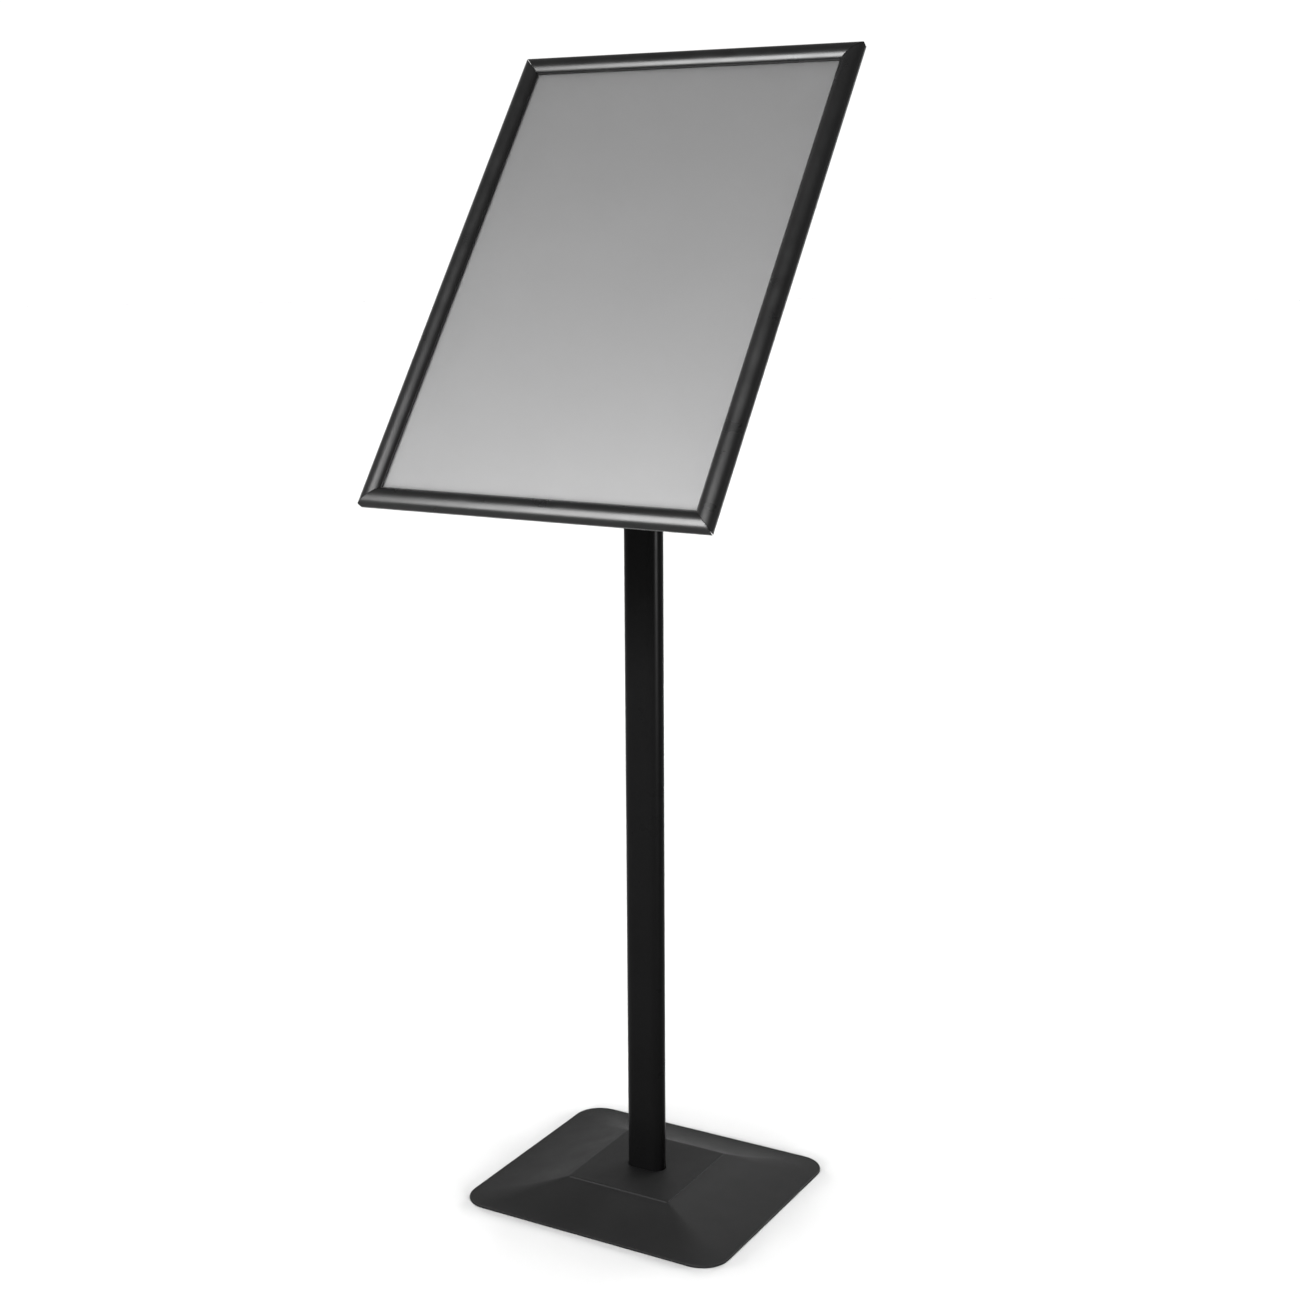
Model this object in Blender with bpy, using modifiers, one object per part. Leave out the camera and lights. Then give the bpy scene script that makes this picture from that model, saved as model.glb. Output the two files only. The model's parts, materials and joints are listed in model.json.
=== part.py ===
"""Floor-standing sign stand: a lectern-style snap frame for an A2 sheet on a tilting head, post and base.

Metres, +Z up. The origin is the middle of the base on the floor, +X is the viewer's right and -Y is the front.
"""

import math

import bmesh
import bpy
from mathutils import Matrix, Vector

# ---------------------------------------------------------------- driving sizes
GAP = 0.0003  # between pieces that touch

SHEET_WIDTH = 0.420  # A2
SHEET_HEIGHT = 0.594
SHEET_LAP = 0.010  # of the sheet's edge lies under each cover
BAR_WIDTH = 0.025
FRAME_CORNER = 0.005
MITRE_GAP = 0.0003  # taken off each mitred end

BASE_WIDTH = 0.360
BASE_DEPTH = 0.316
BASE_CORNER = 0.035
BASE_RIM = 0.0028
COVER_WALL = 0.0018
PLATEAU_WIDTH = 0.142
PLATEAU_DEPTH = 0.148
PLATEAU_CORNER = 0.002
PLATEAU_HEIGHT = 0.025
SLOPE_POWER = 1.7
BALLAST_THICKNESS = 0.008
BALLAST_CORNER = 0.012
BALLAST_CLEARANCE = 0.0008

FLANGE_WIDTH = 0.094
FLANGE_DEPTH = 0.070
FLANGE_THICKNESS = 0.006
FLANGE_CORNER = 0.006
FLANGE_BOLT_INSET = 0.011
SPIGOT_LENGTH = 0.045
BASE_BOLT_RADIUS = 0.003
BASE_BOLT_HEAD = 0.0058
HEAD_RECESS = 0.0006  # how far a countersunk head sits below its face

POST_WIDTH = 0.050
POST_DEPTH = 0.025
POST_WALL = 0.002
POST_HOLE_CLEARANCE = 0.0004
LOCK_SCREW_RADIUS = 0.002
LOCK_SCREW_HEAD = 0.0035
LOCK_SCREW_HEAD_HEIGHT = 0.0018
LOCK_SCREW_BITE = 0.006  # into the spigot

PIVOT_HEIGHT = 1.100
PIVOT_TO_POST = 0.032  # from the top of the tube up to the pivot
HEAD_CAP_THICKNESS = 0.004
EAR_RADIUS = 0.011
EAR_THICKNESS = 0.006
TONGUE_THICKNESS = 0.0154
PIVOT_BOLT_RADIUS = 0.004
PIVOT_BOLT_HEAD = 0.0065
PIVOT_BOLT_HEAD_HEIGHT = 0.008
PIVOT_NUT_FLATS = 0.013
PIVOT_NUT_HEIGHT = 0.0075
PIVOT_BOLT_PAST_NUT = 0.002
FRICTION_WASHER = 0.001
STEEL_WASHER = 0.0016
WASHER_RADIUS = 0.0085
HOLE_CLEARANCE = 0.0003

TILT = math.radians(36.0)  # of the frame, back from upright
PIVOT_TO_FRAME = 0.070  # from the pivot to the plane of the frame's back
PIVOT_ABOVE_MIDDLE = 0.014
CROSSBAR_HEIGHT = 0.025
CROSSBAR_THICKNESS = 0.006
CROSSBAR_END_INSET = 0.006
CROSSBAR_FROM_PIVOT = 0.085
BRACKET_WIDTH = 0.090
BRACKET_THICKNESS = 0.004
BRACKET_CORNER = 0.010
BRACKET_MARGIN = 0.015  # of plate past the middle of each crossbar
BRACKET_SCREW_X = 0.032
BRACKET_SCREW_RADIUS = 0.0025
BRACKET_SCREW_HEAD = 0.0045
BRACKET_SCREW_HEAD_HEIGHT = 0.0035
RAIL_SCREW_RADIUS = 0.00175
RAIL_SCREW_HEAD = 0.0034
RAIL_SCREW_HEAD_HEIGHT = 0.0024
RAIL_SCREW_TIP = 0.0012  # past the rail's floor

# The rail and cover sections lie in a plane: s runs in from the frame's outer edge, n up from its back.
RAIL_FLOOR = 0.0014
HINGE_N = 0.0042
BEAD_RADIUS = 0.0012
SOCKET_WALL = 0.0012
SOCKET_FROM = math.radians(130)
SOCKET_TO = math.radians(325)
WALL_S = 0.00105  # the rail's outer wall below the socket
UPRIGHT_THICKNESS = 0.0012
UPRIGHT_HEIGHT = 0.0066
RAIL_LIP_GAP = 0.0004  # the floor stops short of the cover's inner edge
CROWN = 0.0125  # the highest point of the cover
ELLIPSE_N = 0.005
ELLIPSE_HALF_S = 0.0123
COVER_THICKNESS = 0.0012
OUTER_LIP_S = 0.00045
CROWN_END_S = 0.0232
FLANGE_TOP_N = 0.0072
WEB_S = 0.0058
NECK_HALF = 0.0005
BEAD_SETBACK = 0.0045  # the bead stops this far short of the mitre

PANEL_THICKNESS = 0.0025
FRONT_SHEET_THICKNESS = 0.001
KEY_THICKNESS = 0.0016
KEY_LEG = 0.048
KEY_SIDE_GAP = 0.0004
SPRING_THICKNESS = 0.0005
SPRING_WIDTH = 0.014
SPRING_BOW = 0.0012
SPRING_PLACES = 0.29  # of a side's length, each way from its middle

ROUND_STEPS = 24
ARC_STEPS = 8

# ---------------------------------------------------------------- worked-out sizes
FRAME_WIDTH = SHEET_WIDTH + 2 * (BAR_WIDTH - SHEET_LAP)
FRAME_HEIGHT = SHEET_HEIGHT + 2 * (BAR_WIDTH - SHEET_LAP)
SHEET_S = BAR_WIDTH - SHEET_LAP
SOCKET_RADIUS = BEAD_RADIUS + GAP
HINGE_S = SOCKET_RADIUS + SOCKET_WALL
UPRIGHT_TO = SHEET_S - RAIL_LIP_GAP
UPRIGHT_FROM = UPRIGHT_TO - UPRIGHT_THICKNESS
SOCKET_BLOCK_S = HINGE_S + HINGE_S * math.cos(SOCKET_TO)
PANEL_BACK = RAIL_FLOOR + GAP
SHEET_BACK = PANEL_BACK + PANEL_THICKNESS + GAP
FLANGE_BOTTOM_N = SHEET_BACK + FRONT_SHEET_THICKNESS + GAP
RAIL_SCREW_S = 0.5 * (SOCKET_BLOCK_S + UPRIGHT_FROM)

FLANGE_Z = BALLAST_THICKNESS + GAP
POST_BOTTOM = FLANGE_Z + FLANGE_THICKNESS + GAP
POST_TOP = PIVOT_HEIGHT - PIVOT_TO_POST
COVER_UNDERSIDE = PLATEAU_HEIGHT - COVER_WALL
FOOT_SCREW_Z = 0.5 * (POST_BOTTOM + COVER_UNDERSIDE)

EAR_INNER_X = 0.5 * TONGUE_THICKNESS + GAP + FRICTION_WASHER + GAP
EAR_OUTER_X = EAR_INNER_X + EAR_THICKNESS
BOLT_SEAT_X = EAR_OUTER_X + GAP + STEEL_WASHER + GAP
CROSSBAR_BACK = PIVOT_TO_FRAME - GAP - CROSSBAR_THICKNESS
BRACKET_BACK = CROSSBAR_BACK - GAP - BRACKET_THICKNESS

# ---------------------------------------------------------------- scene
for leftover in list(bpy.data.objects):
    bpy.data.objects.remove(leftover, do_unlink=True)

parts = bpy.data.collections.new("sign_stand")
cutters = bpy.data.collections.new("sign_stand_cutters")
for group in (parts, cutters):
    bpy.context.scene.collection.children.link(group)


def paint(name, color, roughness, metallic):
    material = bpy.data.materials.new(name)
    material.use_nodes = True
    shader = material.node_tree.nodes["Principled BSDF"]
    shader.inputs["Base Color"].default_value = (*color, 1.0)
    shader.inputs["Roughness"].default_value = roughness
    shader.inputs["Metallic"].default_value = metallic
    return material


base_paint = paint("base_paint", (0.030, 0.030, 0.031), 0.55, 0.0)
post_paint = paint("post_paint", (0.010, 0.010, 0.011), 0.40, 0.0)
frame_black = paint("frame_black", (0.028, 0.028, 0.029), 0.35, 0.4)
raw_steel = paint("raw_steel", (0.32, 0.32, 0.33), 0.45, 1.0)
zinc = paint("zinc", (0.55, 0.56, 0.58), 0.35, 1.0)
spring_steel = paint("spring_steel", (0.40, 0.41, 0.43), 0.30, 1.0)
nylon = paint("nylon", (0.75, 0.74, 0.70), 0.50, 0.0)
panel_grey = paint("panel_grey", (0.36, 0.36, 0.36), 0.60, 0.0)
clear_film = paint("clear_film", (0.62, 0.62, 0.62), 0.45, 0.0)


def place(name, mesh, material, parent=None, location=(0, 0, 0), rotation=(0, 0, 0), group=parts):
    mesh.materials.append(material)
    thing = bpy.data.objects.new(name, mesh)
    group.objects.link(thing)
    thing.parent = parent
    thing.location = location
    thing.rotation_euler = rotation
    if group is cutters:
        thing.hide_render = True
        thing.display_type = "WIRE"
    return thing


def boolean(thing, other, operation="DIFFERENCE"):
    modifier = thing.modifiers.new(f"{operation.lower()}_{other.name}", "BOOLEAN")
    modifier.operation = operation
    modifier.object = other
    modifier.solver = "EXACT"


def mesh_from(name, build):
    bm = bmesh.new()
    build(bm)
    bmesh.ops.recalc_face_normals(bm, faces=bm.faces)
    mesh = bpy.data.meshes.new(name)
    bm.to_mesh(mesh)
    bm.free()
    mesh.shade_smooth()
    mesh.set_sharp_from_angle(angle=math.radians(35))
    return mesh


# ---------------------------------------------------------------- outlines and solids
def arc(center, radius, start, end, steps):
    """Points of an arc, both ends included."""
    turns = [start + (end - start) * i / steps for i in range(steps + 1)]
    return [(center[0] + radius * math.cos(t), center[1] + radius * math.sin(t)) for t in turns]


def rounded_rectangle(width, depth, corner, corner_steps=6, side_steps=8):
    """Counterclockwise outline, with the same number of points at every size."""
    points = []
    centers = [(sx * (width / 2 - corner), sy * (depth / 2 - corner)) for sx, sy in ((1, 1), (-1, 1), (-1, -1), (1, -1))]
    for i, center in enumerate(centers):
        start = i * math.pi / 2
        bend = arc(center, corner, start, start + math.pi / 2, corner_steps)
        following = centers[(i + 1) % 4]
        begin = Vector(bend[-1])
        finish = Vector(following) + corner * Vector((-math.sin(start), math.cos(start)))
        points += bend
        points += [tuple(begin.lerp(finish, j / side_steps)) for j in range(1, side_steps)]
    return points


def flat_oval(width, depth, steps=ARC_STEPS):
    radius = depth / 2
    flat = width / 2 - radius
    right = arc((flat, 0), radius, -math.pi / 2, math.pi / 2, steps)
    left = arc((-flat, 0), radius, math.pi / 2, 1.5 * math.pi, steps)
    return right + left


def flat_oval_towards(outline, width, depth):
    """The flat oval's points in the directions of another outline's points."""
    radius = depth / 2
    flat = width / 2 - radius
    points = []
    for x, y in outline:
        turn = math.atan2(y, x)
        c, s = abs(math.cos(turn)), abs(math.sin(turn))
        reach = radius / s if s * flat > c * radius else 0
        if not reach:
            reach = flat * c + math.sqrt(radius**2 - (flat * s) ** 2)
        points.append((reach * math.cos(turn), reach * math.sin(turn)))
    return points


def ring(outline, z):
    return [Vector((x, y, z)) for x, y in outline]


def loft(rings, hollow=False):
    """A body through rings of equal length: capped, or closed on itself round a hole."""

    def build(bm):
        rows = [[bm.verts.new(point) for point in one] for one in rings]
        pairs = list(zip(rows, rows[1:] + rows[:1])) if hollow else list(zip(rows, rows[1:]))
        for low, high in pairs:
            for i in range(len(low)):
                j = (i + 1) % len(low)
                bm.faces.new((low[i], low[j], high[j], high[i]))
        if not hollow:
            bm.faces.new(rows[0])
            bm.faces.new(rows[-1])

    return mesh_from("loft", build)


def block(width, depth, low, high, corner):
    outline = rounded_rectangle(width, depth, corner, 3, 1)
    return loft([ring(outline, low), ring(outline, high)])


def bar(section, half_length):
    """A section in (y, z) run along x; half_length(y, z) says where each point of it ends."""

    def build(bm):
        face = bm.faces.new([bm.verts.new((0, y, z)) for y, z in section])
        face.normal_update()
        faces = bmesh.ops.triangulate(bm, faces=[face])["faces"]
        far = bmesh.ops.extrude_face_region(bm, geom=faces, use_keep_orig=True)["geom"]
        far = {v for v in far if isinstance(v, bmesh.types.BMVert)}
        for v in bm.verts:
            reach = half_length(v.co.y, v.co.z)
            v.co.x = reach if v in far else -reach

    return mesh_from("bar", build)


def turned(name, profile, material, parent=None, location=(0, 0, 0), rotation=(0, 0, 0), group=parts, ring_shape=False):
    """A profile of (radius, height), top to bottom on its outer side, turned round Z."""
    mesh = bpy.data.meshes.new(name)
    edges = [(i, i + 1) for i in range(len(profile) - 1)]
    if ring_shape:
        edges.append((len(profile) - 1, 0))
    mesh.from_pydata([(r, 0, z) for r, z in profile], edges, [])
    thing = place(name, mesh, material, parent, location, rotation, group)
    screw = thing.modifiers.new("turn", "SCREW")
    screw.steps = ROUND_STEPS
    screw.render_steps = ROUND_STEPS
    screw.use_merge_vertices = True
    screw.merge_threshold = 0.00001
    screw.use_smooth_shade = False
    return thing


def rod(name, radius, low, high, parent=None, location=(0, 0, 0), rotation=(0, 0, 0)):
    """A cutter."""
    profile = [(0, high), (radius, high), (radius, low), (0, low)]
    return turned(name, profile, base_paint, parent, location, rotation, cutters)


def cap_screw(name, radius, head, head_height, length, parent, location, rotation, material=zinc):
    """Its head sits on z = 0 and its shank runs down."""
    socket = 0.5 * head
    floor = 0.45 * head_height
    edge = 0.12 * head
    profile = [
        (0, floor),
        (socket, floor),
        (socket, head_height),
        (head - edge, head_height),
        (head, head_height - edge),
        (head, 0),
        (radius, 0),
        (radius, -length + 0.5 * radius),
        (0.5 * radius, -length),
        (0, -length),
    ]
    return turned(name, profile, material, parent, location, rotation)


def countersunk(radius, head, length, grow=0.0, socket=True):
    """Profile of a countersunk screw whose flat head is at z = 0 and whose shank runs down."""
    cone = head - radius
    profile = [(0, -0.6 * cone), (0.45 * head, -0.6 * cone), (0.45 * head, 0)] if socket else [(0, 0)]
    profile += [(head + grow, 0), (radius + grow, -cone), (radius + grow, -length), (0, -length)]
    return profile


def washer(name, inner, outer, thickness, material, location):
    """Stands on its edge, its middle at the location and its axis along X."""
    half = thickness / 2
    profile = [(outer, half), (outer, -half), (inner, -half), (inner, half)]
    return turned(name, profile, material, None, location, (0, math.pi / 2, 0), ring_shape=True)


# ---------------------------------------------------------------- base
def slope_height(share):
    """Height of the cover's outside; share is 0 at the plateau's edge and 1 at the rim."""
    return BASE_RIM + (PLATEAU_HEIGHT - BASE_RIM) * (1 - share) ** SLOPE_POWER


def cover_outline(share):
    def between(inner, outer):
        return inner + (outer - inner) * share

    width = between(PLATEAU_WIDTH, BASE_WIDTH)
    depth = between(PLATEAU_DEPTH, BASE_DEPTH)
    return rounded_rectangle(width, depth, between(PLATEAU_CORNER, BASE_CORNER))


def base_cover():
    shares = [1.0, 0.86, 0.72, 0.58, 0.44, 0.3, 0.16, 0.0]
    rim = cover_outline(1.0)
    hole = flat_oval_towards(
        cover_outline(0.0), POST_WIDTH + 2 * POST_HOLE_CLEARANCE, POST_DEPTH + 2 * POST_HOLE_CLEARANCE
    )
    inside_rim = rounded_rectangle(
        BASE_WIDTH - 2 * COVER_WALL, BASE_DEPTH - 2 * COVER_WALL, BASE_CORNER - COVER_WALL
    )
    rings = [ring(rim, GAP)]
    rings += [ring(cover_outline(share), slope_height(share)) for share in shares]
    rings += [ring(hole, PLATEAU_HEIGHT), ring(hole, COVER_UNDERSIDE)]
    rings += [ring(cover_outline(share), slope_height(share) - COVER_WALL) for share in reversed(shares[1:])]
    rings += [ring(inside_rim, BASE_RIM - COVER_WALL), ring(inside_rim, GAP)]
    place("base_cover", loft(rings, hollow=True), base_paint)


def ballast_and_foot():
    under = BALLAST_THICKNESS + BALLAST_CLEARANCE + COVER_WALL
    share = 1 - ((under - BASE_RIM) / (PLATEAU_HEIGHT - BASE_RIM)) ** (1 / SLOPE_POWER)
    width = PLATEAU_WIDTH + share * (BASE_WIDTH - PLATEAU_WIDTH)
    depth = PLATEAU_DEPTH + share * (BASE_DEPTH - PLATEAU_DEPTH)
    ballast = place("ballast_plate", block(width, depth, 0, BALLAST_THICKNESS, BALLAST_CORNER), raw_steel)

    flange = rounded_rectangle(FLANGE_WIDTH, FLANGE_DEPTH, FLANGE_CORNER, 3, 8)
    bore = 2 * (POST_WALL + GAP)
    spigot = flat_oval_towards(flange, POST_WIDTH - bore, POST_DEPTH - bore)
    top = FLANGE_Z + FLANGE_THICKNESS
    rings = [ring(flange, FLANGE_Z), ring(flange, top), ring(spigot, top), ring(spigot, top + SPIGOT_LENGTH)]
    foot = place("post_foot", loft(rings), raw_steel)

    upright = (math.pi, 0, 0)
    length = top - HEAD_RECESS
    for i, (sx, sy) in enumerate(((-1, -1), (1, -1), (1, 1), (-1, 1))):
        x = sx * (FLANGE_WIDTH / 2 - FLANGE_BOLT_INSET)
        y = sy * (FLANGE_DEPTH / 2 - FLANGE_BOLT_INSET)
        here = (x, y, HEAD_RECESS)
        turned(f"base_bolt_{i + 1}", countersunk(BASE_BOLT_RADIUS, BASE_BOLT_HEAD, length), zinc, None, here, upright)
        sink = countersunk(BASE_BOLT_RADIUS, BASE_BOLT_HEAD, 2 * length, HOLE_CLEARANCE, socket=False)
        sink = [(0, 2 * HEAD_RECESS), (BASE_BOLT_HEAD + HOLE_CLEARANCE, 2 * HEAD_RECESS)] + sink[1:]
        cutter = turned(f"bolt_hole_{i + 1}", sink, base_paint, None, here, upright, cutters)
        boolean(ballast, cutter)
        boolean(foot, cutter)
    return foot


def lock_screws(tube, insert, tag, places):
    """Screws through the tube's flat faces into the insert; each place is (name, side, height)."""
    for name, side, height in places:
        turn = (side * -math.pi / 2, 0, 0)
        here = (0, side * (POST_DEPTH / 2 + GAP), height)
        length = GAP + POST_WALL + GAP + LOCK_SCREW_BITE
        cap_screw(
            name, LOCK_SCREW_RADIUS, LOCK_SCREW_HEAD, LOCK_SCREW_HEAD_HEIGHT, length, None, here, turn
        )
        hole = LOCK_SCREW_RADIUS + HOLE_CLEARANCE
        cutter = rod(f"{tag}_hole_{name}", hole, -length - GAP, LOCK_SCREW_HEAD, None, here, turn)
        boolean(tube, cutter)
        boolean(insert, cutter)


# ---------------------------------------------------------------- post
def post_tube():
    outside = flat_oval(POST_WIDTH, POST_DEPTH)
    inside = flat_oval(POST_WIDTH - 2 * POST_WALL, POST_DEPTH - 2 * POST_WALL)
    rings = [ring(outside, POST_BOTTOM), ring(outside, POST_TOP), ring(inside, POST_TOP), ring(inside, POST_BOTTOM)]
    return place("post", loft(rings, hollow=True), post_paint)


def post_head():
    bore = 2 * (POST_WALL + GAP)
    spigot = flat_oval(POST_WIDTH - bore, POST_DEPTH - bore)
    cap = flat_oval(POST_WIDTH, POST_DEPTH)
    seat = POST_TOP + GAP
    top = seat + HEAD_CAP_THICKNESS
    rings = [ring(spigot, POST_TOP - SPIGOT_LENGTH), ring(spigot, seat), ring(cap, seat), ring(cap, top)]
    head = place("post_head", loft(rings), frame_black)

    root = top - 0.5 * HEAD_CAP_THICKNESS - PIVOT_HEIGHT
    outline = [(-EAR_RADIUS, root)] + [(EAR_RADIUS, root)] + arc((0, 0), EAR_RADIUS, 0, math.pi, 2 * ARC_STEPS)
    for side in (-1, 1):
        mesh = bar(outline, lambda y, z: EAR_THICKNESS / 2)
        here = (side * (EAR_INNER_X + EAR_THICKNESS / 2), 0, PIVOT_HEIGHT)
        ear = place(f"ear_{'left' if side < 0 else 'right'}", mesh, frame_black, None, here, group=cutters)
        boolean(head, ear, "UNION")
    across = (0, math.pi / 2, 0)
    hole = rod("ear_hole", PIVOT_BOLT_RADIUS + HOLE_CLEARANCE, -POST_WIDTH, POST_WIDTH, None, (0, 0, PIVOT_HEIGHT), across)
    boolean(head, hole)
    return head


def pivot_hardware():
    across = (0, math.pi / 2, 0)
    nut_x = -(BOLT_SEAT_X + PIVOT_NUT_HEIGHT / 2)
    length = 2 * BOLT_SEAT_X + PIVOT_NUT_HEIGHT + PIVOT_BOLT_PAST_NUT
    cap_screw(
        "pivot_bolt", PIVOT_BOLT_RADIUS, PIVOT_BOLT_HEAD, PIVOT_BOLT_HEAD_HEIGHT, length, None,
        (BOLT_SEAT_X, 0, PIVOT_HEIGHT), across,
    )
    bore = PIVOT_BOLT_RADIUS + HOLE_CLEARANCE
    for side, word in ((-1, "left"), (1, "right")):
        x = side * (EAR_INNER_X - GAP - FRICTION_WASHER / 2)
        washer(f"friction_washer_{word}", bore, WASHER_RADIUS, FRICTION_WASHER, nylon, (x, 0, PIVOT_HEIGHT))
        x = side * (EAR_OUTER_X + GAP + STEEL_WASHER / 2)
        washer(f"steel_washer_{word}", bore, WASHER_RADIUS, STEEL_WASHER, zinc, (x, 0, PIVOT_HEIGHT))

    per_flat = ROUND_STEPS // 6
    corner = PIVOT_NUT_FLATS / math.sqrt(3)
    corners = [Vector(p) for p in arc((0, 0), corner, 0, 2 * math.pi, 6)]
    outside = [tuple(a.lerp(b, j / per_flat)) for a, b in zip(corners, corners[1:]) for j in range(per_flat)]
    inside = arc((0, 0), bore, 0, 2 * math.pi, ROUND_STEPS)[:-1]
    half = PIVOT_NUT_HEIGHT / 2
    rings = [ring(outside, -half), ring(outside, half), ring(inside, half), ring(inside, -half)]
    place("pivot_nut", loft(rings, hollow=True), zinc, None, (nut_x, 0, PIVOT_HEIGHT), across)


# ---------------------------------------------------------------- head
def tilt_bracket(pivot):
    outline = arc((0, 0), EAR_RADIUS, math.pi, 2 * math.pi, 2 * ARC_STEPS)
    outline += [(EAR_RADIUS, BRACKET_BACK + BRACKET_THICKNESS / 2), (-EAR_RADIUS, BRACKET_BACK + BRACKET_THICKNESS / 2)]
    bracket = place("tilt_bracket", bar(outline, lambda y, z: TONGUE_THICKNESS / 2), frame_black, pivot)
    depth = 2 * (CROSSBAR_FROM_PIVOT + BRACKET_MARGIN)
    plate = block(BRACKET_WIDTH, depth, BRACKET_BACK, BRACKET_BACK + BRACKET_THICKNESS, BRACKET_CORNER)
    boolean(bracket, place("bracket_plate", plate, frame_black, pivot, group=cutters), "UNION")
    across = (0, math.pi / 2, 0)
    bore = rod("tongue_hole", PIVOT_BOLT_RADIUS + HOLE_CLEARANCE, -POST_WIDTH, POST_WIDTH, pivot, (0, 0, 0), across)
    boolean(bracket, bore)

    number = 0
    for side, word in ((1, "upper"), (-1, "lower")):
        y = side * CROSSBAR_FROM_PIVOT
        size = (FRAME_WIDTH - 2 * CROSSBAR_END_INSET, CROSSBAR_HEIGHT)
        mesh = block(*size, CROSSBAR_BACK, CROSSBAR_BACK + CROSSBAR_THICKNESS, 0.002)
        crossbar = place(f"crossbar_{word}", mesh, frame_black, pivot, (0, y, 0))
        for x in (-BRACKET_SCREW_X, BRACKET_SCREW_X):
            number += 1
            seat = (x, y, BRACKET_BACK - GAP)
            length = BRACKET_THICKNESS + 2 * GAP + CROSSBAR_THICKNESS
            cap_screw(
                f"bracket_screw_{number}", BRACKET_SCREW_RADIUS, BRACKET_SCREW_HEAD, BRACKET_SCREW_HEAD_HEIGHT,
                length, pivot, seat, (math.pi, 0, 0),
            )
            hole = BRACKET_SCREW_RADIUS + HOLE_CLEARANCE
            cutter = rod(f"bracket_hole_{number}", hole, -2 * length, length, pivot, seat, (math.pi, 0, 0))
            boolean(bracket, cutter)
            boolean(crossbar, cutter)
    return [bpy.data.objects["crossbar_upper"], bpy.data.objects["crossbar_lower"]]


def rail_screws(pivot, crossbars, rails):
    number = 0
    for crossbar in crossbars:
        for side, rail in ((-1, rails["left"]), (1, rails["right"])):
            number += 1
            x = side * (FRAME_WIDTH / 2 - RAIL_SCREW_S)
            seat = (x, crossbar.location.y, CROSSBAR_BACK - GAP)
            length = GAP + CROSSBAR_THICKNESS + GAP + RAIL_FLOOR + RAIL_SCREW_TIP
            cap_screw(
                f"crossbar_screw_{number}", RAIL_SCREW_RADIUS, RAIL_SCREW_HEAD, RAIL_SCREW_HEAD_HEIGHT,
                length, pivot, seat, (math.pi, 0, 0),
            )
            hole = RAIL_SCREW_RADIUS + HOLE_CLEARANCE
            cutter = rod(f"rail_hole_{number}", hole, -length - RAIL_FLOOR, length, pivot, seat, (math.pi, 0, 0))
            boolean(crossbar, cutter)
            boolean(rail, cutter)


def corner_setback(s):
    """How far short of the frame's corner a bar ends, s in from the outer edge: a mitre with a rounded tip."""
    if s >= FRAME_CORNER * (1 - math.sqrt(0.5)):
        return s
    return FRAME_CORNER - math.sqrt(FRAME_CORNER**2 - (FRAME_CORNER - s) ** 2)


def rail_section():
    hinge = (HINGE_S, HINGE_N)
    low = math.pi + math.acos((HINGE_S - WALL_S) / HINGE_S)
    outside = arc(hinge, HINGE_S, low, SOCKET_FROM, ARC_STEPS)
    inside = arc(hinge, SOCKET_RADIUS, SOCKET_FROM, SOCKET_TO, 2 * ARC_STEPS)
    block_top = HINGE_N + HINGE_S * math.sin(SOCKET_TO)
    edge = BAR_WIDTH - RAIL_LIP_GAP
    return (
        [(WALL_S, 0)]
        + outside
        + inside
        + [(SOCKET_BLOCK_S, block_top), (SOCKET_BLOCK_S, RAIL_FLOOR)]
        + [(UPRIGHT_FROM, RAIL_FLOOR), (UPRIGHT_FROM, UPRIGHT_HEIGHT)]
        + [(UPRIGHT_TO, UPRIGHT_HEIGHT), (UPRIGHT_TO, RAIL_FLOOR)]
        + [(edge, RAIL_FLOOR), (edge, 0)]
    )


def crown(s, inset=0.0):
    """The cover's curved top at s, or its underside with an inset."""
    half = ELLIPSE_HALF_S - inset
    rise = CROWN - ELLIPSE_N - inset
    return ELLIPSE_N + rise * math.sqrt(max(0.0, 1 - ((s - ELLIPSE_HALF_S) / half) ** 2))


def crown_points(start, end, inset, steps):
    """Points along the crown from start to end, closer together where it turns."""
    half = ELLIPSE_HALF_S - inset
    first = math.acos((ELLIPSE_HALF_S - start) / half)
    last = math.acos((ELLIPSE_HALF_S - end) / half)
    spots = [ELLIPSE_HALF_S - half * math.cos(first + (last - first) * i / steps) for i in range(steps + 1)]
    return [(s, crown(s, inset)) for s in spots]


def cover_section():
    hinge = (HINGE_S, HINGE_N)
    web_to = WEB_S + COVER_THICKNESS
    neck = math.asin(NECK_HALF / BEAD_RADIUS)
    bead = arc(hinge, BEAD_RADIUS, neck, 2 * math.pi - neck, 2 * ARC_STEPS)
    outer_lip = OUTER_LIP_S + COVER_THICKNESS
    return (
        crown_points(OUTER_LIP_S, CROWN_END_S, 0.0, 2 * ARC_STEPS)
        + [(CROWN_END_S + GAP, FLANGE_TOP_N), (BAR_WIDTH, FLANGE_TOP_N)]
        + [(BAR_WIDTH, FLANGE_BOTTOM_N), (CROWN_END_S - COVER_THICKNESS, FLANGE_BOTTOM_N)]
        + crown_points(CROWN_END_S - COVER_THICKNESS, web_to, COVER_THICKNESS, ARC_STEPS)
        + [(web_to, HINGE_N - NECK_HALF)]
        + bead[::-1]
        + [(WEB_S, HINGE_N + NECK_HALF)]
        + crown_points(WEB_S, outer_lip, COVER_THICKNESS, ARC_STEPS // 2)
    )


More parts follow.
